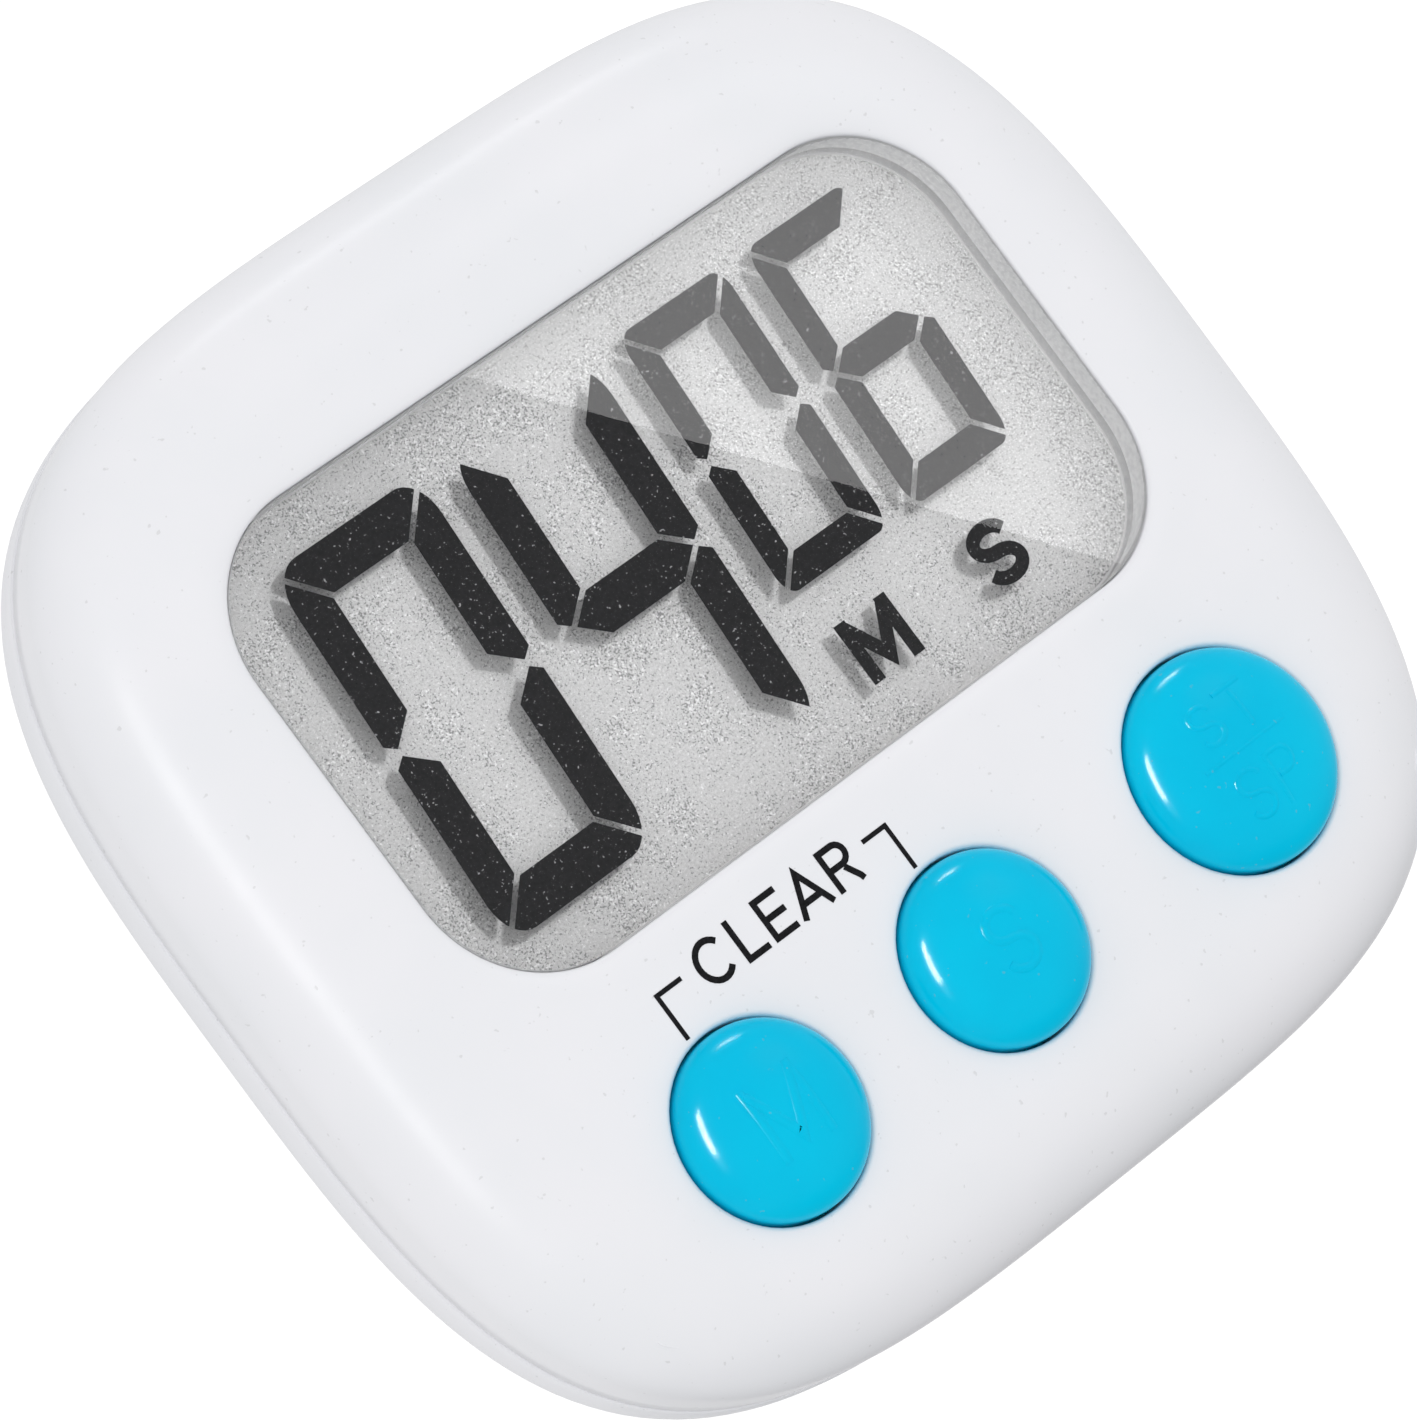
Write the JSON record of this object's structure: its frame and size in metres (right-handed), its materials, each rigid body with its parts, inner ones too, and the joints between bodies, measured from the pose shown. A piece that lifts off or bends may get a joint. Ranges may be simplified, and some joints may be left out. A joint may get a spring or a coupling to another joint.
{
  "type": "lab timer",
  "caption": "Pocket countdown timer with a large liquid crystal display, domed push buttons, a button cell, a back magnet and a folding stand.",
  "frame": {"origin": "middle of the flat back that the timer rests on, midway across its width and length", "axes": "+X to the display's right, +Y towards the display's top edge, +Z the way the display faces"},
  "size_m": [0.064, 0.0598, 0.0171],
  "materials": {
    "case_white": "gloss",
    "button_cyan": "gloss",
    "clear_lens": "clear",
    "display_glass": "clear",
    "polarizer": "satin",
    "reflector": "satin",
    "frame_white": "matte",
    "zebra_rubber": "matte",
    "board_green": "satin",
    "silicone": "matte",
    "carbon": "matte",
    "black_resin": "satin",
    "component": "satin",
    "ferrite": "matte",
    "brass": "satin",
    "piezo_white": "satin",
    "wire_insulation": "satin",
    "steel": "satin"
  },
  "bodies": {
    "case": {"front_shell": "case_white", "back_cover": "case_white", "window_lens": "clear_lens", "lcd_frame": "frame_white", "lcd_front_polarizer": "polarizer", "lcd_front_glass": "display_glass", "lcd_rear_glass": "display_glass", "lcd_reflector": "reflector", "zebra_strip": "zebra_rubber", "circuit_board": "board_green", "keypad": "silicone", "chip_blob": "black_resin", "crystal": "steel", "chip_capacitors": "component", "boost_inductor": "ferrite", "transistor": "black_resin", "piezo_disc": "brass", "piezo_ceramic": "piezo_white", "buzzer_wires": "wire_insulation", "button_cell": "steel", "positive_contact": "steel", "negative_contact": "steel", "magnet": "ferrite", "board_screws": "steel", "case_screws": "steel"},
    "minutes_button": {"button_m": "button_cyan", "contact_pill_m": "carbon"},
    "seconds_button": {"button_s": "button_cyan", "contact_pill_s": "carbon"},
    "start_stop_button": {"button_st_sp": "button_cyan", "contact_pill_st_sp": "carbon"},
    "battery_door": {"battery_door": "case_white"},
    "stand": {"stand": "case_white"}
  },
  "joints": [
    {"name": "minutes_press", "type": "slide", "parent": "case", "child": "minutes_button", "axis": [0, 0, -1], "range_m": [0, 0.0008], "stiffness_N_per_m": 1200, "springref_m": -0.0005, "deforming": ["keypad"]},
    {"name": "seconds_press", "type": "slide", "parent": "case", "child": "seconds_button", "axis": [0, 0, -1], "range_m": [0, 0.0008], "stiffness_N_per_m": 1200, "springref_m": -0.0005, "deforming": ["keypad"]},
    {"name": "start_stop_press", "type": "slide", "parent": "case", "child": "start_stop_button", "axis": [0, 0, -1], "range_m": [0, 0.0008], "stiffness_N_per_m": 1400, "springref_m": -0.0005, "deforming": ["keypad"]},
    {"name": "door_twist", "type": "hinge", "parent": "case", "child": "battery_door", "pos_m": [-0.0062, -0.0074, 0.001], "axis": [0, 0, 1], "range_deg": [0, 60]},
    {"name": "stand_fold", "type": "hinge", "parent": "case", "child": "stand", "pos_m": [0, 0.0155, 0.0014], "axis": [1, 0, 0], "range_deg": [0, 60]}
  ]
}
